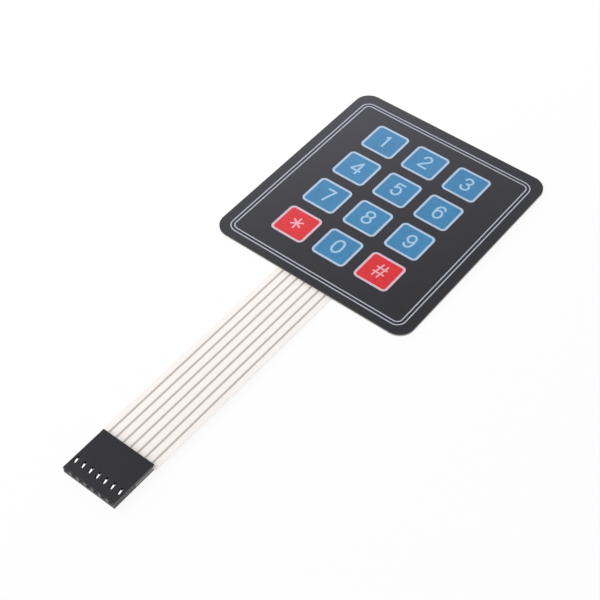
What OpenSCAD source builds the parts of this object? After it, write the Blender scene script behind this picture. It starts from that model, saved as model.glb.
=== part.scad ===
// Membrane keypad: a printed key sheet on a laminated switch stack, with a flat film tail that ends
// in a single row socket. The origin is the middle of the sheet's rear face, the tail runs along -Y.

/* [Key sheet] */
// Width of the sheet across the key columns
pad_w = 69; // [67:0.5:76]
// Height of the sheet along the key columns
pad_h = 76; // [74:0.5:84]
// Radius of the sheet's corners
pad_r = 5; // [3:0.5:7]

/* [Layers] */
// Thickness of the paper liner that covers the rear adhesive
liner_t = 0.12; // [0.08:0.01:0.2]
// Thickness of the rear adhesive
rear_adhesive_t = 0.1; // [0.05:0.01:0.2]
// Thickness of the lower circuit film and of its tail
lower_film_t = 0.125; // [0.1:0.005:0.2]
// Thickness of the spacer between the circuit films
spacer_t = 0.18; // [0.1:0.01:0.3]
// Thickness of the upper circuit film
upper_film_t = 0.1; // [0.075:0.005:0.2]
// Thickness of the adhesive under the key sheet
overlay_adhesive_t = 0.1; // [0.05:0.01:0.2]
// Thickness of the printed key sheet
overlay_t = 0.18; // [0.12:0.01:0.3]
// Depth of every printed layer, let into the film that carries it
ink_t = 0.03; // [0.02:0.005:0.05]

/* [Keys] */
// Distance between key columns
key_pitch_x = 15.13; // [14.5:0.01:16]
// Distance between key rows
key_pitch_y = 14.79; // [14.2:0.01:15.6]
// Outside width of a key's pale outline
key_w = 11.7; // [10.5:0.05:12.5]
// Outside height of a key's pale outline
key_h = 11.4; // [10.5:0.05:12.5]
// Outside corner radius of a key's outline
key_r = 1.6; // [1:0.1:3]
// Width of the outline's stroke
key_line = 0.75; // [0.3:0.05:0.9]
// Sideways offset of the key grid on the sheet
keys_x = -0.45; // [-1:0.05:1]
// Offset of the key grid towards the top row
keys_y = 0.34; // [-1:0.02:1]

/* [Border lines] */
// Distance from the sheet's edge to the outer line
border_inset = 3.1; // [2:0.1:4]
// Distance from the outer line to the inner line
border_step = 1.14; // [0.8:0.02:1.6]
// Width of each line
border_line = 0.35; // [0.2:0.05:0.6]
// Outside corner radius of the outer line
border_r = 3.1; // [2:0.1:5]
// Offset of both lines towards the top row
border_y = -0.5; // [-1:0.1:1]

/* [Switch cells] */
// Diameter of the round cell in the spacer under each key
cell_d = 9; // [8:0.1:10]
// Diameter of the opening in the upper adhesive over each cell
relief_d = 10; // [9:0.1:11]
// Diameter of each round switch contact
contact_d = 6; // [4:0.1:7]
// Width of the printed conductors
lead_w = 0.7; // [0.4:0.05:1]
// Width of the air channel that joins the cells of a column
vent_w = 0.8; // [0.5:0.1:1.5]
// Diameter of the dots that join the two circuits
dot_d = 1.6; // [1.2:0.1:1.8]
// Clearance around each joining dot in the spacer
dot_clear = 0.1; // [0.05:0.05:0.2]
// Distance from the sheet's sides to the outer conductors
lead_side = 4; // [3:0.5:5]
// Distance from the sheet's lower edge to the lowest conductors
lead_low = 2.2; // [1.5:0.1:3]
// Distance between neighbouring conductors at the sheet's edges
lead_step = 1.9; // [1.5:0.1:2.2]

/* [Tail] */
// Width of the film tail
tail_w = 19.4; // [18.5:0.1:21]
// Free length of the tail from the sheet's edge to the socket
tail_l = 72.7; // [50:0.1:90]
// Level length of the tail on either side of the sheet's edge
tail_foot = 1; // [0.5:0.5:4]
// Level length of the tail behind the socket
tail_landing = 2; // [1:0.5:5]
// Distance by which the tail's full width enters the slot
shoulder_in = 0.6; // [0.2:0.1:1.5]
// Amount by which the tail's tongue is wider than the housing
tongue_extra = 0.2; // [0:0.05:0.5]
// Gap between the tongue's end and the end of the slot
tongue_gap = 0.3; // [0.1:0.05:0.5]
// Width of each conductor on the tail
trace_w = 0.65; // [0.3:0.05:0.8]

/* [Socket] */
// Distance between the socket's ways
way_pitch = 2.54; // [2.5:0.01:2.6]
// Length of the housing along the tail
socket_l = 14.9; // [14:0.1:16]
// Height of the housing
socket_h = 2.5; // [2.4:0.05:2.8]
// Amount by which the housing is narrower than its ways
socket_trim = 0.18; // [0:0.02:0.3]
// Size of the bevel along the housing's outer edges
edge_bevel = 0.1; // [0.05:0.01:0.15]
// Depth of the tail slot in the rear of the housing
slot_l = 7.4; // [6.5:0.1:7.6]
// Height of the slot's floor above the rear face
slot_z = 1.1; // [1:0.01:1.15]
// Height of the slot
slot_h = 0.55; // [0.45:0.01:0.6]
// Size of the bevel that opens the slot under the upper jaw's rear edge
jaw_bevel = 0.4; // [0.2:0.05:0.5]
// Side of the square mouth for each pin
mouth = 0.95; // [0.8:0.05:1]
// Size of the sloping lead-in at each mouth
lead_in = 0.45; // [0.1:0.05:0.5]
// Thickness of the wall around the mouths
front_wall = 1; // [0.8:0.1:1.2]
// Width of each window in the housing's top
window_w = 0.8; // [0.7:0.05:1]
// Length of each window in the housing's top
window_l = 2.1; // [1.9:0.1:2.4]
// Distance from the mouth face to the middle of the windows
window_from_front = 3.8; // [3.2:0.1:4]

/* [Terminals] */
// Thickness of the terminal metal
metal_t = 0.2; // [0.15:0.01:0.22]
// Outside width of the pin box
box_w = 1.5; // [1.4:0.02:1.6]
// Outside height of the pin box
box_h = 1.3; // [1.2:0.02:1.34]
// Clearance around the pin box in its cavity
box_clear = 0.1; // [0.05:0.01:0.14]
// Length of the pin box
box_l = 5; // [4.6:0.1:5.2]
// Width of the strip that lies on the tail
strip_w = 1.3; // [1:0.05:1.4]
// Length of the strip's lap on the floor of the pin box
strip_lap = 0.4; // [0.2:0.1:0.8]
// Distance from the rear of the housing to the strip's end
strip_short = 1; // [0.5:0.1:2]
// Clearance between the strip's step and the end of the slot
step_clear = 0.05; // [0.02:0.01:0.1]
// Width of the locking lance in the window
lance_w = 0.45; // [0.35:0.01:0.5]
// Length of the locking lance
lance_l = 1.3; // [1:0.1:1.6]
// Gap around the lance in the roof of the pin box
lance_gap = 0.17; // [0.05:0.01:0.2]
// Distance of the lance's root from the front of the window
lance_start = 0.05; // [0.02:0.01:0.1]
// Distance of the lance's tip below the top of the housing
lance_sink = 0.1; // [0.05:0.01:0.3]
// Width of the contact spring inside the box
spring_w = 0.8; // [0.5:0.05:0.9]
// Length of the contact spring
spring_l = 2; // [1.5:0.1:2.5]
// Height of the contact spring
spring_h = 0.3; // [0.2:0.02:0.34]
// Thickness of the contact spring
spring_t = 0.12; // [0.08:0.01:0.15]
// Distance from the front of the pin box to the spring
spring_from_front = 1.4; // [1:0.1:2]

/* [Hidden] */
columns = 3;
rows = 4;
ways = 7;
// How far a cut runs past the face that it opens
cut = 0.2;
// How far two cuts that join run into each other
meet = 0.01;
$fn = 64;
rear_adhesive_z = liner_t;
lower_film_z = rear_adhesive_z + rear_adhesive_t;
spacer_z = lower_film_z + lower_film_t;
upper_film_z = spacer_z + spacer_t;
overlay_adhesive_z = upper_film_z + upper_film_t;
overlay_z = overlay_adhesive_z + overlay_adhesive_t;
top_z = overlay_z + overlay_t;
edge_y = -pad_h / 2;
outer_lead_x = pad_w / 2 - lead_side;
inner_lead_x = outer_lead_x - lead_step;
outer_lead_y = edge_y + lead_low;
inner_lead_y = outer_lead_y + lead_step;
low_cell_y = keys_y - (rows - 1) / 2 * key_pitch_y - cell_d / 2;
join_y = (inner_lead_y + low_cell_y) / 2;
socket_w = ways * way_pitch - socket_trim;
socket_y = edge_y - tail_l;
mouth_y = socket_y - socket_l;
slot_end_y = socket_y - slot_l;
root_y = edge_y + tail_foot;
foot_y = edge_y - tail_foot;
landing_y = socket_y + tail_landing;
shoulder_y = socket_y - shoulder_in;
tail_end_y = slot_end_y + tongue_gap;
tongue_w = socket_w + tongue_extra;
box_z = socket_h / 2 - box_h / 2;
box_front_y = mouth_y + front_wall + box_clear;
box_rear_y = box_front_y + box_l;
roof_z = box_z + box_h;
cavity_z = box_z - box_clear;
strip_z = slot_z + lower_film_t;
step_y = slot_end_y + step_clear;
strip_end_y = socket_y - strip_short;
window_y = mouth_y + window_from_front;
lance_y = window_y - window_l / 2 + lance_start;
lance_tip_y = lance_y + lance_l;
lance_tip_z = socket_h - lance_sink;
spring_y = box_front_y + spring_from_front;
spring_z = box_z + metal_t;

function key_x(column) = keys_x + (column - (columns - 1) / 2) * key_pitch_x;
function key_y(row) = keys_y + ((rows - 1) / 2 - row) * key_pitch_y;
function way_x(way) = (way - (ways - 1) / 2) * way_pitch;
function is_red(row, column) = row == rows - 1 && column != 1;

// Shapes that the pieces share
module rounded(w, h, r) {
    square([w - 2 * r, h], center = true);
    square([w, h - 2 * r], center = true);
    for (x = [-1, 1], y = [-1, 1])
        translate([x * (w / 2 - r), y * (h / 2 - r)]) circle(r = r);
}

module ring(w, h, r, line) {
    difference() {
        rounded(w, h, r);
        rounded(w - 2 * line, h - 2 * line, r - line);
    }
}

module run(from, to, w) {
    translate([min(from[0], to[0]) - w / 2, min(from[1], to[1]) - w / 2])
        square([abs(to[0] - from[0]) + w, abs(to[1] - from[1]) + w]);
}

module side_form(w, points) rotate([90, 0, 90]) translate([0, 0, -w / 2]) linear_extrude(w) polygon(points);

module block(w, low_y, high_y, low_z, high_z) {
    translate([-w / 2, low_y, low_z]) cube([w, high_y - low_y, high_z - low_z]);
}

module sheet(z, t) {
    translate([0, 0, z]) linear_extrude(t) rounded(pad_w, pad_h, pad_r);
}

module at_each_key() {
    for (row = [0 : rows - 1], column = [0 : columns - 1])
        translate([key_x(column), key_y(row)]) children();
}

// Print on the key sheet
module key_fields(red) {
    for (row = [0 : rows - 1], column = [0 : columns - 1])
        if (is_red(row, column) == red)
            translate([key_x(column), key_y(row), top_z - ink_t])
                linear_extrude(ink_t) rounded(key_w - 2 * key_line, key_h - 2 * key_line, key_r - key_line);
}

module pale_lines() {
    for (row = [0 : rows - 1], column = [0 : columns - 1])
        translate([key_x(column), key_y(row), top_z - ink_t])
            linear_extrude(ink_t) ring(key_w, key_h, key_r, key_line);
    for (step = [0, border_step])
        translate([0, border_y, top_z - ink_t])
            linear_extrude(ink_t)
                ring(pad_w - 2 * (border_inset + step), pad_h - 2 * (border_inset + step), border_r - step,
                    border_line);
}

module graphic_overlay() color([0.25, 0.25, 0.27]) difference() {
    sheet(overlay_z, overlay_t);
    key_fields(false);
    key_fields(true);
    pale_lines();
}

module blue_key_print() color([0.32, 0.54, 0.71]) key_fields(false);

module red_key_print() color([0.88, 0.27, 0.3]) key_fields(true);

module pale_line_print() color([0.85, 0.88, 0.94]) pale_lines();

// Switch stack under the key sheet
module overlay_adhesive() color([0.8, 0.8, 0.78]) translate([0, 0, overlay_adhesive_z])
    linear_extrude(overlay_adhesive_t) difference() {
        rounded(pad_w, pad_h, pad_r);
        at_each_key() circle(d = relief_d);
    }

module column_lead(column, way) {
    run([key_x(column), key_y(0)], [key_x(column), join_y], lead_w);
    run([key_x(column), join_y], [way_x(way), join_y], lead_w);
    translate([way_x(way), join_y]) circle(d = dot_d);
}

module upper_ink() translate([0, 0, upper_film_z]) linear_extrude(ink_t) {
    at_each_key() circle(d = contact_d);
    for (column = [0 : columns - 1]) column_lead(column, column + 2);
}

module upper_circuit_film() color([0.93, 0.92, 0.9]) difference() {
    sheet(upper_film_z, upper_film_t);
    upper_ink();
}

module upper_conductors() color([0.7, 0.68, 0.64]) upper_ink();

module joining_dots() color([0.6, 0.58, 0.55])
    for (way = [2 : 4])
        translate([way_x(way), join_y, spacer_z]) cylinder(d = dot_d, h = spacer_t);

module spacer() color([0.9, 0.9, 0.88]) translate([0, 0, spacer_z])
    linear_extrude(spacer_t) difference() {
        rounded(pad_w, pad_h, pad_r);
        at_each_key() circle(d = cell_d);
        for (column = [0 : columns - 1])
            run([key_x(column), key_y(0)], [key_x(column), key_y(rows - 1)], vent_w);
        for (way = [2 : 4]) translate([way_x(way), join_y]) circle(d = dot_d + 2 * dot_clear);
    }

// Tail: level at the sheet, a gentle rise, then level again where its tongue enters the socket's slot
module tail_form(w, low, high) side_form(w, [
    [root_y, lower_film_z + low], [foot_y, lower_film_z + low], [landing_y, slot_z + low],
    [tail_end_y, slot_z + low], [tail_end_y, slot_z + high], [landing_y, slot_z + high],
    [foot_y, lower_film_z + high], [root_y, lower_film_z + high]]);

module beside_tongue() {
    for (side = [-1, 1])
        translate([side * (tongue_w + tail_w) / 2, 0, 0])
            block(tail_w, tail_end_y - cut, shoulder_y, slot_z - cut, slot_z + lower_film_t + cut);
}

module row_lead(row, side_x, turn_y, way) {
    run([key_x(0), key_y(row)], [key_x(columns - 1), key_y(row)], lead_w);
    run([key_x(1), key_y(row)], [side_x, key_y(row)], lead_w);
    run([side_x, key_y(row)], [side_x, turn_y], lead_w);
    run([side_x, turn_y], [way_x(way), turn_y], lead_w);
    run([way_x(way), turn_y], [way_x(way), root_y], trace_w);
}

// The lower conductors, and with room above them the cut that they lie in
module lower_ink(room) {
    translate([0, 0, spacer_z - ink_t]) linear_extrude(ink_t + room) {
        at_each_key() circle(d = contact_d);
        row_lead(0, -outer_lead_x, outer_lead_y, 0);
        row_lead(1, -inner_lead_x, inner_lead_y, 1);
        row_lead(2, outer_lead_x, outer_lead_y, 6);
        row_lead(3, inner_lead_x, inner_lead_y, 5);
        for (way = [2 : 4]) {
            translate([way_x(way), join_y]) circle(d = dot_d);
            run([way_x(way), join_y], [way_x(way), root_y], trace_w);
        }
    }
    for (way = [0 : ways - 1])
        translate([way_x(way), 0, 0]) tail_form(trace_w, lower_film_t - ink_t, lower_film_t + room);
}

module lower_circuit_film() color([0.97, 0.94, 0.92]) difference() {
    union() {
        sheet(lower_film_z, lower_film_t);
        tail_form(tail_w, 0, lower_film_t);
    }
    beside_tongue();
    lower_ink(cut);
}

module lower_conductors() color([0.72, 0.68, 0.64]) lower_ink(0);

module rear_adhesive() color([0.85, 0.83, 0.78]) sheet(rear_adhesive_z, rear_adhesive_t);

module release_liner() color([0.92, 0.91, 0.87]) sheet(0, liner_t);

// Socket: a bevelled housing with a slot for the tail, and a cavity, a mouth and a window for each terminal
module bevelled_bar() {
    half = socket_w / 2;
    b = edge_bevel;
    intersection() {
        translate([0, socket_y, 0]) rotate([90, 0, 0]) linear_extrude(socket_l)
            polygon([[-half + b, 0], [half - b, 0], [half, b], [half, socket_h - b], [half - b, socket_h],
                [-half + b, socket_h], [-half, socket_h - b], [-half, b]]);
        side_form(socket_w + 2 * cut, [[mouth_y + b, 0], [socket_y - b, 0], [socket_y, b],
            [socket_y, socket_h - b], [socket_y - b, socket_h], [mouth_y + b, socket_h],
            [mouth_y, socket_h - b], [mouth_y, b]]);
    }
}

module tail_slot() side_form(socket_w + 2 * cut, [[slot_end_y, slot_z], [socket_y + cut, slot_z],
    [socket_y + cut, slot_z + slot_h + jaw_bevel + cut], [socket_y - jaw_bevel, slot_z + slot_h],
    [slot_end_y, slot_z + slot_h]]);

module mouth_slope() {
    deep_y = mouth_y + lead_in;
    near_y = mouth_y - cut;
    wide = mouth / 2 + lead_in + cut;
    mid = socket_h / 2;
    intersection() {
        linear_extrude(socket_h)
            polygon([[-mouth / 2, deep_y], [mouth / 2, deep_y], [wide, near_y], [-wide, near_y]]);
        side_form(way_pitch, [[deep_y, mid - mouth / 2], [deep_y, mid + mouth / 2], [near_y, mid + wide],
            [near_y, mid - wide]]);
    }
}

module way_cuts() {
    inner_y = mouth_y + front_wall;
    block(box_w + 2 * box_clear, inner_y, slot_end_y + meet, cavity_z, socket_h - cavity_z);
    block(mouth, mouth_y - cut, inner_y + meet, socket_h / 2 - mouth / 2, socket_h / 2 + mouth / 2);
    mouth_slope();
    block(window_w, window_y - window_l / 2, window_y + window_l / 2, socket_h / 2, socket_h + cut);
}

module socket_housing() color([0.22, 0.22, 0.24]) difference() {
    bevelled_bar();
    tail_slot();
    for (way = [0 : ways - 1]) translate([way_x(way), 0, 0]) way_cuts();
}

// Terminals: a pin box, a strip that steps up onto the tail, a lance cut from the roof and a contact spring
module pin_box() difference() {
    block(box_w, box_front_y, box_rear_y, box_z, roof_z);
    block(box_w - 2 * metal_t, box_front_y - cut, box_rear_y + cut, box_z + metal_t, roof_z - metal_t);
    block(lance_w + 2 * lance_gap, lance_y, lance_tip_y + lance_gap, roof_z - metal_t - meet, roof_z + cut);
}

module tail_contact() side_form(strip_w, [
    [box_rear_y - strip_lap, box_z], [box_rear_y, box_z], [step_y, strip_z], [strip_end_y, strip_z],
    [strip_end_y, strip_z + metal_t], [step_y - metal_t / 2, strip_z + metal_t],
    [box_rear_y - metal_t / 2, box_z + metal_t], [box_rear_y - strip_lap, box_z + metal_t]]);

module lance() side_form(lance_w, [
    [lance_y - metal_t, roof_z - metal_t], [lance_y, roof_z - metal_t], [lance_tip_y, lance_tip_z - metal_t],
    [lance_tip_y, lance_tip_z], [lance_y, roof_z], [lance_y - metal_t, roof_z]]);

module contact_spring() side_form(spring_w, [
    [spring_y, spring_z], [spring_y + spring_l / 2, spring_z + spring_h], [spring_y + spring_l, spring_z],
    [spring_y + spring_l - 2 * spring_t, spring_z], [spring_y + spring_l / 2, spring_z + spring_h - spring_t],
    [spring_y + 2 * spring_t, spring_z]]);

module terminal(way) translate([way_x(way), 0, 0]) {
    pin_box();
    tail_contact();
    lance();
    contact_spring();
}

module plated() color([0.82, 0.82, 0.8]) children();

module terminal_1() plated() terminal(0);

module terminal_2() plated() terminal(1);

module terminal_3() plated() terminal(2);

module terminal_4() plated() terminal(3);

module terminal_5() plated() terminal(4);

module terminal_6() plated() terminal(5);

module terminal_7() plated() terminal(6);

graphic_overlay();
blue_key_print();
red_key_print();
pale_line_print();
overlay_adhesive();
upper_circuit_film();
upper_conductors();
joining_dots();
spacer();
lower_circuit_film();
lower_conductors();
rear_adhesive();
release_liner();
socket_housing();
terminal_1();
terminal_2();
terminal_3();
terminal_4();
terminal_5();
terminal_6();
terminal_7();
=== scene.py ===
import math

import bpy
from mathutils import Matrix, Vector


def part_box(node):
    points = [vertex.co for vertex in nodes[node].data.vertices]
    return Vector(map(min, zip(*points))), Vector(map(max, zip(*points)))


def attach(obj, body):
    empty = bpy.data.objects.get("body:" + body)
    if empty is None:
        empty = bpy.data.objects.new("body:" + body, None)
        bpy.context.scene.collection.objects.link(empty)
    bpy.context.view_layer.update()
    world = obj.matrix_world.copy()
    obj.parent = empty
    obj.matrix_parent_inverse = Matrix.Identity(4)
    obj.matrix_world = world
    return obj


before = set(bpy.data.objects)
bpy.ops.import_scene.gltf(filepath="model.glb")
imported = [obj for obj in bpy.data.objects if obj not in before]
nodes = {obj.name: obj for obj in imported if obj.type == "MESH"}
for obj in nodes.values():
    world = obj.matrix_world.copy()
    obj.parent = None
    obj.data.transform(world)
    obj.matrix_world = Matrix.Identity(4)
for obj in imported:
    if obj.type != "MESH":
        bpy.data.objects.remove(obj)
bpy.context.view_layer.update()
mm = 0.001

# Where things are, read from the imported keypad
face_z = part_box("graphic_overlay")[1].z
blue_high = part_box("blue_key_print")[1]
red_low, red_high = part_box("red_key_print")
socket_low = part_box("socket_housing")[0]

# The keys' signs, row by row from the top
rows_of_signs = [["1", "2", "3"], ["4", "5", "6"], ["7", "8", "9"], ["star", "0", "hash"]]
rows, columns = len(rows_of_signs), len(rows_of_signs[0])

# Key fields and their pitch, from the points of the red print, whose two fields end the lowest row
red_print = nodes["red_key_print"]
red_points = [(red_print.matrix_world @ point.co).x for point in red_print.data.vertices]
grid_x = (red_low.x + red_high.x) / 2
grid_y = (red_low.y + blue_high.y) / 2
field_w = max(x for x in red_points if x < grid_x) - red_low.x
field_h = red_high.y - red_low.y
pitch_x = (red_high.x - red_low.x - field_w) / (columns - 1)
pitch_y = (blue_high.y - red_low.y - field_h) / (rows - 1)

# The socket's ways, what each pin bore takes up with the lip over it, where the plastic is painted dark as
# shade, and the lower part of the end face, which is painted paler as light reflected from the table
ways = 7
first_way, last_way = (sum(corner.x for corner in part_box(f"terminal_{way}")) / 2 for way in (1, ways))
way_pitch = (last_way - first_way) / (ways - 1)
bore_z = socket_low.z + 1.55 * mm
bore_half_h = 0.86 * mm
bore_half_w = 0.7 * mm
lit_end_back = socket_low.y + 0.3 * mm
lit_end_top = socket_low.z + 2.05 * mm


# Materials

class Wire:
    """A socket of a material's nodes, with the maths that the finishes use."""

    def __init__(self, tree, socket):
        self.tree = tree
        self.socket = socket

    def math(self, operation, first, second):
        """Adds a Math node that works on wires or plain numbers."""
        made = self.tree.nodes.new("ShaderNodeMath")
        made.operation = operation
        for socket, value in zip(made.inputs, (first, second)):
            join(self.tree, value, socket)
        return Wire(self.tree, made.outputs[0])

    def __add__(self, other):
        return self.math("ADD", self, other)

    def __radd__(self, other):
        return self.math("ADD", other, self)

    def __sub__(self, other):
        return self.math("SUBTRACT", self, other)

    def __rsub__(self, other):
        return self.math("SUBTRACT", other, self)

    def __mul__(self, other):
        return self.math("MULTIPLY", self, other)

    def __rmul__(self, other):
        return self.math("MULTIPLY", other, self)


def join(tree, value, socket):
    """Links a wire to a socket, or sets the socket to a plain value."""
    if isinstance(value, Wire):
        tree.links.new(value.socket, socket)
    else:
        socket.default_value = value


def socket_of(made, name):
    """A node's input by its name, or by its number as in_0, in_1 and so on."""
    if name.startswith("in_"):
        return made.inputs[int(name.removeprefix("in_"))]
    return made.inputs[name.replace("_", " ")]


class Finish:
    """One material: its node tree, its shader and the nodes that vary it."""

    def __init__(self, name):
        self.material = bpy.data.materials.new(name)
        self.material.use_nodes = True
        self.tree = self.material.node_tree
        self.tree.nodes.clear()
        self.shader = self.tree.nodes.new("ShaderNodeBsdfPrincipled")
        self.end = self.tree.nodes.new("ShaderNodeOutputMaterial")
        self.surface = Wire(self.tree, self.shader.outputs["BSDF"])
        join(self.tree, self.surface, self.end.inputs["Surface"])
        self.place = self.node("ShaderNodeTexCoord", out="Object")

    def node(self, kind, settings=None, out=0, **sockets):
        """Adds a node of any kind, with its settings first and then its sockets."""
        made = self.tree.nodes.new(kind)
        for name, value in (settings or {}).items():
            setattr(made, name, value)
        for name, value in sockets.items():
            join(self.tree, value, socket_of(made, name))
        return Wire(self.tree, made.outputs[out])

    def set(self, **sockets):
        """Feeds the shader's own sockets."""
        for name, value in sockets.items():
            join(self.tree, value, socket_of(self.shader, name))

    def noise(self, size_mm, detail=2.0, rough=0.5, stretch=(1, 1, 1)):
        """Noise of one size, drawn out along an axis whose stretch is under 1."""
        scaled = self.node(
            "ShaderNodeMapping",
            Vector=self.place,
            Scale=tuple(share / (size_mm * mm) for share in stretch),
        )
        return self.node(
            "ShaderNodeTexNoise",
            out="Fac",
            Vector=scaled,
            Scale=1.0,
            Detail=detail,
            Roughness=rough,
        )

    def blend(self, amount, first, second, how="MIX"):
        """Mixes two colours, by the sockets that a Mix node keeps for colours."""
        return self.node(
            "ShaderNodeMix",
            {"data_type": "RGBA", "blend_type": how},
            out=2,
            in_0=amount,
            in_6=first,
            in_7=second,
        )

    def axis(self, name):
        """The place along X, Y or Z."""
        return self.node("ShaderNodeSeparateXYZ", out=name, Vector=self.place)

    def near(self, value, middle, reach):
        """1 where a value is within reach of the middle, and 0 elsewhere."""
        return self.node("ShaderNodeMath", {"operation": "COMPARE"}, in_0=value, in_1=middle, in_2=reach)

    def below(self, value, limit):
        """1 where a value is under the limit, and 0 elsewhere."""
        return self.node("ShaderNodeMath", {"operation": "LESS_THAN"}, in_0=value, in_1=limit)

    def bump(self, height, depth_mm, strength):
        """Raises the surface by a height from 0 to 1."""
        raised = self.node("ShaderNodeBump", Height=height, Distance=depth_mm * mm, Strength=strength)
        self.set(Normal=raised)

    def on(self, *names):
        """Puts the finish on CAD nodes."""
        for name in names:
            for slot in nodes[name].material_slots:
                slot.material = self.material


def shade(colour, factor):
    """A colour made darker or lighter, with its alpha."""
    return tuple(min(1.0, part * factor) for part in colour) + (1.0,)


def printed_film(name, colour, mottle, rough, tint=None):
    """Matt film print, with one velvet texture over the sheet and its inks, and a tint by place if given."""
    film = Finish(name)
    velvet = film.noise(size_mm=0.6, rough=0.55)
    cloud = film.noise(size_mm=14.0)
    tone = film.node(
        "ShaderNodeMapRange",
        Value=cloud * 0.3 + velvet * 0.7,
        From_Min=0.3,
        From_Max=0.7,
    )
    printed = film.blend(tone, shade(colour, 1 - mottle), shade(colour, 1 + mottle))
    if tint:
        printed = film.blend(1.0, printed, tint(film), "MULTIPLY")
    film.set(Base_Color=printed)
    film.set(Roughness=rough - 0.06 + velvet * 0.12)
    film.bump(velvet, depth_mm=0.02, strength=0.6)
    return film


def key_tint(ink):
    """White, and round each key a little of the key's own colour, which shows through the thin line."""
    blue_tint, red_tint = (0.89, 1.08, 1.19, 1), (1.41, 0.93, 0.94, 1)
    x, y = ink.axis("X"), ink.axis("Y")
    by_key = ink.near(x, grid_x, pitch_x * columns / 2) * ink.near(y, grid_y, pitch_y * rows / 2)
    last_row = ink.below(y, red_high.y + (pitch_y - field_h) / 2)
    by_red = by_key * last_row * (1 - ink.near(x, grid_x, pitch_x / 2))
    tint = ink.blend(by_key, (1, 1, 1, 1), blue_tint)
    return ink.blend(by_red, tint, red_tint)


printed_film("charcoal_film", (0.007, 0.0058, 0.0105), mottle=0.3, rough=0.42).on("graphic_overlay")
printed_film("blue_key_ink", (0.031, 0.201, 0.394), mottle=0.16, rough=0.42).on("blue_key_print")
printed_film("red_key_ink", (0.67, 0.0105, 0.016), mottle=0.15, rough=0.42).on("red_key_print")
line_ink = printed_film("pale_line_ink", (0.46, 0.485, 0.552), mottle=0.05, rough=0.42, tint=key_tint)
line_ink.on("pale_line_print")


def circuit_film():
    """Pale film with faint drawing streaks along the tail."""
    film = Finish("pale_circuit_film")
    streak = film.noise(size_mm=1.2, stretch=(1, 0.03, 1))
    cloud = film.noise(size_mm=18.0)
    tone = streak * 0.5 + cloud * 0.5
    film.set(Base_Color=film.blend(tone, (0.93, 0.855, 0.793, 1), (0.965, 0.905, 0.847, 1)))
    film.set(Roughness=0.3 + streak * 0.14)
    film.bump(cloud * 0.8 + streak * 0.2, depth_mm=0.05, strength=0.25)
    return film


circuit_film().on("lower_circuit_film")


def conductor_ink():
    """Grey conductive ink with fine flakes."""
    ink = Finish("grey_conductor_ink")
    flake = ink.noise(size_mm=0.12, rough=0.6)
    worn = ink.noise(size_mm=2.5)
    tone = flake * 0.6 + worn * 0.4
    ink.set(Base_Color=ink.blend(tone, (0.43, 0.395, 0.35, 1), (0.57, 0.53, 0.475, 1)))
    ink.set(Metallic=0.2, Roughness=0.42 + flake * 0.16)
    ink.bump(flake, depth_mm=0.006, strength=0.4)
    return ink


conductor_ink().on("lower_conductors", "upper_conductors", "joining_dots")


def inner_sheet(name, dark, light, rough):
    """A sheet or adhesive inside the keypad, cloudy, seen only at the edge, its colour darkened as painted
    shade for the shadow that edge lies in.
    """
    film = Finish(name)
    cloud = film.noise(size_mm=3.0, detail=3.0, rough=0.6)
    film.set(Base_Color=film.blend(cloud, dark + (1,), light + (1,)))
    film.set(Roughness=rough - 0.05 + cloud * 0.1)
    film.bump(cloud, depth_mm=0.01, strength=0.3)
    return film


# Painted shade: these inner layers are coloured dark and grey for the shadow along the keypad's edge
inner_sheet("shade_dark_adhesive", (0.045, 0.045, 0.047), (0.07, 0.07, 0.072), rough=0.45).on("overlay_adhesive")
inner_sheet("shaded_film", (0.11, 0.108, 0.104), (0.16, 0.157, 0.15), rough=0.4).on("upper_circuit_film")
inner_sheet("shaded_spacer", (0.13, 0.128, 0.122), (0.19, 0.187, 0.18), rough=0.4).on("spacer")
inner_sheet("shade_grey_adhesive", (0.2, 0.196, 0.188), (0.3, 0.294, 0.28), rough=0.45).on("rear_adhesive")


def liner_paper():
    """Coated paper with short faint fibres."""
    paper = Finish("coated_liner_paper")
    fibre = paper.noise(size_mm=0.9, detail=4.0, rough=0.65, stretch=(1, 0.35, 1))
    cloud = paper.noise(size_mm=9.0)
    tone = fibre * 0.6 + cloud * 0.4
    paper.set(Base_Color=paper.blend(tone, (0.7, 0.68, 0.61, 1), (0.84, 0.82, 0.76, 1)))
    paper.set(Roughness=0.5 + fibre * 0.15)
    paper.bump(fibre, depth_mm=0.02, strength=0.35)
    return paper


liner_paper().on("release_liner")


def moulded_black():
    """Black moulded plastic with a fine grain, matt and painted near black as shade in the bores, and
    painted paler round the mouths as a reflection of the table.
    """
    plastic = Finish("black_moulded_plastic")
    grain = plastic.noise(size_mm=0.16, detail=3.0, rough=0.6)
    flow = plastic.noise(size_mm=4.0, stretch=(1, 0.4, 1))
    tone = grain * 0.5 + flow * 0.5
    black = plastic.blend(tone, (0.005, 0.005, 0.008, 1), (0.012, 0.0115, 0.017, 1))
    # Painted light: a paler grey for the lower end face, standing in for the table's light reflected there
    painted_lit_end = plastic.blend(tone, (0.038, 0.034, 0.031, 1), (0.062, 0.056, 0.05, 1))
    across, along, height = plastic.axis("X") - first_way, plastic.axis("Y"), plastic.axis("Z")
    off_way = plastic.node("ShaderNodeMath", {"operation": "PINGPONG"}, in_0=across, in_1=way_pitch / 2)
    # Painted shade: the bores and the lip over them get a near black colour, and are also made matt
    matt_shaded_bore = plastic.below(off_way, bore_half_w) * plastic.near(height, bore_z, bore_half_h)
    # Where the painted light falls: the lower part of the end face
    lit_end_face = plastic.below(along, lit_end_back) * plastic.below(height, lit_end_top)
    outside = plastic.blend(lit_end_face, black, painted_lit_end)
    plastic.set(Base_Color=plastic.blend(matt_shaded_bore, outside, (0.002, 0.002, 0.002, 1)))
    plastic.set(Roughness=0.26 + grain * 0.14 + matt_shaded_bore * 0.62)
    plastic.bump(grain, depth_mm=0.012, strength=0.5)
    return plastic


moulded_black().on("socket_housing")


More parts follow.
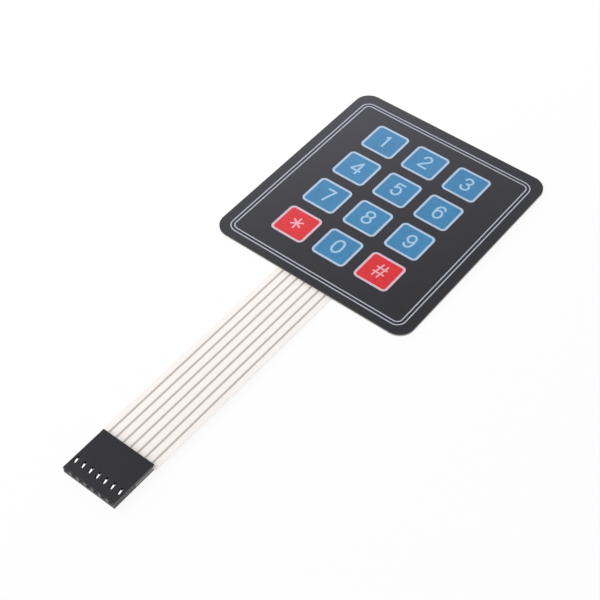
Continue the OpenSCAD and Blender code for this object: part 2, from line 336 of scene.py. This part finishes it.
def tin_plate():
    """Bright tin over formed strip, with rolling streaks along the strip."""
    metal = Finish("bright_tin_plate")
    rolled = metal.noise(size_mm=0.12, rough=0.55, stretch=(1, 0.06, 1))
    spot = metal.noise(size_mm=0.6)
    tone = rolled * 0.6 + spot * 0.4
    metal.set(Base_Color=metal.blend(tone, (0.6, 0.595, 0.58, 1), (0.76, 0.755, 0.74, 1)))
    metal.set(Metallic=1.0, Roughness=0.2 + rolled * 0.14)
    metal.bump(rolled, depth_mm=0.004, strength=0.3)
    return metal


tin_plate().on(*[f"terminal_{way}" for way in range(1, ways + 1)])


# Key legends

def arc(x, y, rx, ry, start, stop, steps=8):
    """Points on an oval, by angles in degrees."""
    angles = [math.radians(start + (stop - start) * i / steps) for i in range(steps + 1)]
    return [(x + rx * math.cos(angle), y + ry * math.sin(angle)) for angle in angles]


def ring(x, y, rx, ry):
    """A whole oval, closed."""
    return arc(x, y, rx, ry, 0, 360, 12)


# Each sign's strokes, in millimetres from the middle of the sign
legend_strokes = {
    "1": [
        [(-0.8, 1.8), (-0.3, 1.95), (0, 2.2), (0.15, 2.6)],
        [(0.2, 2.75), (0.2, -2.6)],
    ],
    "2": [
        arc(0.05, 1.4, 1.2, 1.25, 190, -20) + [(0.4, 0), (-0.9, -1.2), (-1.4, -2.2)],
        [(-1.65, -2.2), (1.7, -2.2)],
    ],
    "3": [
        arc(0.1, 1.35, 1.2, 1.15, 185, -85),
        arc(0.1, -1.2, 1.3, 1.3, 90, -190),
        [(-0.3, 0.15), (0.3, 0.15)],
    ],
    "4": [
        [(0.75, 2.8), (0.75, -2.65)],
        [(0.75, 2.65), (-1.65, -0.95)],
        [(-1.8, -0.95), (1.8, -0.95)],
    ],
    "5": [
        [(1.5, 2.55), (-1, 2.55)],
        [(-1, 2.8), (-1.25, 0.15)],
        arc(-0.1, -0.6, 1.35, 1.7, 150, -170),
    ],
    "6": [
        arc(0.25, 1.05, 1.15, 1.35, 10, 110, 5) + [(-0.9, 1.65), (-1.2, 0.45), (-1.1, -0.8)],
        ring(0.15, -0.95, 1.25, 1.6),
    ],
    "7": [
        [(-1.35, 2.45), (1.65, 2.45)],
        [(1.5, 2.6), (1, 1.25), (0.35, -0.6), (-0.2, -2.7)],
    ],
    "8": [
        ring(0, 1.4, 1.25, 1.2),
        ring(0, -1.05, 1.35, 1.3),
    ],
    "9": [
        arc(0.05, -1.15, 1.15, 1.4, 190, 290, 5) + [(1, -2), (1.4, -0.6), (1.35, 0.8)],
        ring(0.1, 0.95, 1.25, 1.45),
    ],
    "0": [
        arc(-0.05, 0.6, 1.4, 2, 0, 180) + arc(-0.05, -0.4, 1.4, 2, 180, 360) + [(1.35, 0.6)],
    ],
    "star": [
        [(-0.1, 2.35), (-0.1, -2.25)],
        [(-1.85, 1.15), (1.65, -1.05)],
        [(-1.85, -1.05), (1.65, 1.15)],
    ],
    "hash": [
        [(-0.4, 2.7), (-1.2, -2.6)],
        [(1.2, 2.7), (0.45, -2.6)],
        [(-1.85, 1.05), (1.85, 1.05)],
        [(-1.95, -0.9), (1.95, -0.9)],
    ],
}

# In millimetres: stroke widths, half the print's thickness, and each sign's lift above its key's middle
stroke_w = {"star": 0.55, "hash": 0.5}
digit_w = 0.7
legend_rise = 0.012
legend_lift = 0.2

# Stroke ends this close meet in a closed line, and faces that meet at less than this angle look smooth
touching = 1e-6
sign_smooth_angle = math.radians(50)


def key_centre(row, column):
    """Middle of a key field, with the first row at the top."""
    return grid_x + pitch_x * (column - (columns - 1) / 2), grid_y + pitch_y * ((rows - 1) / 2 - row)


def draw_stroke(path, stroke):
    """Adds one stroke to a sign's path, as a smooth line that closes where its ends meet."""
    closed = math.dist(stroke[0], stroke[-1]) < touching
    points = stroke[:-1] if closed else stroke
    line = path.splines.new("BEZIER")
    line.bezier_points.add(len(points) - 1)
    for point, (x, y) in zip(line.bezier_points, points):
        point.co = (x * mm, y * mm, 0)
        point.handle_left_type = "AUTO"
        point.handle_right_type = "AUTO"
    line.use_cyclic_u = closed


def draw_legend(sign, row, column):
    """Draws one sign as round strokes, flattens them to print and lays them on the key field."""
    half_w = stroke_w.get(sign, digit_w) / 2
    path = bpy.data.curves.new(f"legend_{sign}", "CURVE")
    path.dimensions = "3D"
    path.resolution_u = 4
    path.bevel_depth = half_w * mm
    path.bevel_resolution = 3
    path.use_fill_caps = True
    for stroke in legend_strokes[sign]:
        draw_stroke(path, stroke)
    legend = bpy.data.objects.new(f"legend_{sign}", path)
    bpy.context.scene.collection.objects.link(legend)
    bpy.ops.object.select_all(action="DESELECT")
    legend.select_set(True)
    bpy.context.view_layer.objects.active = legend
    bpy.ops.object.convert(target="MESH")
    x, y = key_centre(row, column)
    bpy.ops.object.mode_set(mode="EDIT")
    bpy.ops.mesh.select_all(action="SELECT")
    bpy.ops.transform.resize(value=(1, 1, legend_rise / half_w), center_override=(0, 0, 0))
    bpy.ops.transform.translate(value=(x, y + legend_lift * mm, face_z + legend_rise * mm))
    bpy.ops.mesh.normals_make_consistent(inside=False)
    bpy.ops.object.mode_set(mode="OBJECT")
    bpy.ops.object.shade_smooth_by_angle(angle=sign_smooth_angle)
    return legend


# The thin pale ink lets a little of the key's own colour through
ink_on_blue = printed_film("pale_ink_on_blue", (0.33, 0.52, 0.7), mottle=0.03, rough=0.5)
ink_on_red = printed_film("pale_ink_on_red", (0.8, 0.4, 0.47), mottle=0.03, rough=0.5)
for row, signs in enumerate(rows_of_signs):
    for column, sign in enumerate(signs):
        legend = draw_legend(sign, row, column)
        ink = ink_on_blue if sign.isdigit() else ink_on_red
        legend.data.materials.clear()
        legend.data.materials.append(ink.material)
        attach(legend, "root")


# Floor

# The table's radius in metres, its gap under the keypad, and the angle under which its cove looks smooth
table_r = 3.0
table_gap = 0.02 * mm
cove_smooth_angle = math.radians(60)

# The cove's steps from the table's rim: how much wider each is than the last, and its rise in metres
cove_steps = ((1.12, 0.04), (1.1, 0.13), (1.06, 0.24), (1.02, 0.4), (1.0, 0.6))

# Share of plain white in what the camera sees of the table, which leaves the rest to light and shadow
white_share = 0.9


def seen_rays(finish):
    """1 for rays from the camera, from gloss and through glass, and 0 for the rest."""
    camera_ray = finish.node("ShaderNodeLightPath", out="Is Camera Ray")
    glossy_ray = finish.node("ShaderNodeLightPath", out="Is Glossy Ray")
    clear_ray = finish.node("ShaderNodeLightPath", out="Is Transmission Ray")
    return finish.node("ShaderNodeClamp", Value=camera_ray + glossy_ray + clear_ray)


def table_white():
    """Matt white that shows as white to the camera and still takes a shadow."""
    table = Finish("white_table")
    cloud = table.noise(size_mm=60.0)
    table.set(Base_Color=table.blend(cloud, (0.9, 0.9, 0.9, 1), (0.92, 0.92, 0.92, 1)))
    table.set(Roughness=0.9, Specular_IOR_Level=0.0)
    glow = table.node("ShaderNodeEmission", Color=(1, 1, 1, 1), Strength=1.0)
    seen = seen_rays(table) * white_share
    mixed = table.node("ShaderNodeMixShader", in_0=seen, in_1=table.surface, in_2=glow)
    join(table.tree, mixed, table.end.inputs["Surface"])
    return table


def white_floor():
    """A round white table with a coved rim, a hair below the keypad."""
    bpy.ops.object.select_all(action="DESELECT")
    bpy.ops.mesh.primitive_circle_add(vertices=96, radius=table_r, fill_type="NGON")
    floor = bpy.context.object
    floor.name = "table"
    bpy.ops.object.mode_set(mode="EDIT")
    bpy.ops.mesh.select_all(action="SELECT")
    bpy.ops.transform.translate(value=(0, 0, -table_gap))
    bpy.ops.mesh.select_mode(type="EDGE")
    bpy.ops.mesh.region_to_loop()
    for spread, rise in cove_steps:
        bpy.ops.mesh.extrude_edges_move(TRANSFORM_OT_translate={"value": (0, 0, rise)})
        bpy.ops.transform.resize(value=(spread, spread, 1), center_override=(0, 0, 0))
    bpy.ops.object.mode_set(mode="OBJECT")
    bpy.ops.object.shade_smooth_by_angle(angle=cove_smooth_angle)
    floor.data.materials.append(table_white().material)


white_floor()


# Light

scene = bpy.context.scene
scene.view_settings.view_transform = "Standard"
room_strength = 0.31


def light_room(strength):
    """Even white light from all round."""
    world = bpy.data.worlds.new("studio")
    scene.world = world
    world.use_nodes = True
    sky = world.node_tree
    sky.nodes.clear()
    background = sky.nodes.new("ShaderNodeBackground")
    background.inputs["Color"].default_value = (1, 1, 1, 1)
    background.inputs["Strength"].default_value = strength
    end = sky.nodes.new("ShaderNodeOutputWorld")
    sky.links.new(background.outputs[0], end.inputs["Surface"])


def softbox(name, place, aim, size, power, colour=(1, 1, 1)):
    """An even rectangular lamp that faces a point, in metres and watts."""
    lamp = bpy.data.lights.new(name, "AREA")
    lamp.color = colour
    lamp.shape = "RECTANGLE"
    lamp.size, lamp.size_y = size
    lamp.energy = power
    holder = bpy.data.objects.new(name, lamp)
    scene.collection.objects.link(holder)
    holder.location = place
    holder.rotation_euler = (Vector(aim) - Vector(place)).to_track_quat("-Z", "Y").to_euler()


light_room(room_strength)
softbox(
    "overhead_softbox",
    place=(-0.42, -0.62, 0.73),
    aim=(0, -0.05, 0),
    size=(1.6, 1.6),
    power=13.0,
)
softbox(
    "left_panel",
    place=(-0.25, 0.12, 0.11),
    aim=(0, 0, 0),
    size=(0.9, 0.19),
    power=1.4,
    colour=(0.96, 0.97, 1.1),
)


# Camera, fitted to the keypad's print and to the socket

azimuth, elevation, roll = (math.radians(angle) for angle in (38.55, 49.98, -0.28))
distance = 376 * mm
aim = Vector((2.9, -43.68, 0)) * mm
focal_px = 1335
image_px = 600
sensor_mm = 36

level = math.cos(elevation)
back = Vector((math.sin(azimuth) * level, -math.cos(azimuth) * level, math.sin(elevation)))
right = Vector((math.cos(azimuth), math.sin(azimuth), 0))
up = back.cross(right)
tilt = Matrix.Rotation(roll, 3, back)
turn = Matrix((tilt @ right, tilt @ up, back)).transposed().to_4x4()
lens = bpy.data.cameras.new("camera")
lens.sensor_width = sensor_mm
lens.lens = focal_px * sensor_mm / image_px
camera = bpy.data.objects.new("camera", lens)
scene.collection.objects.link(camera)
camera.matrix_world = Matrix.Translation(aim + back * distance) @ turn
scene.camera = camera
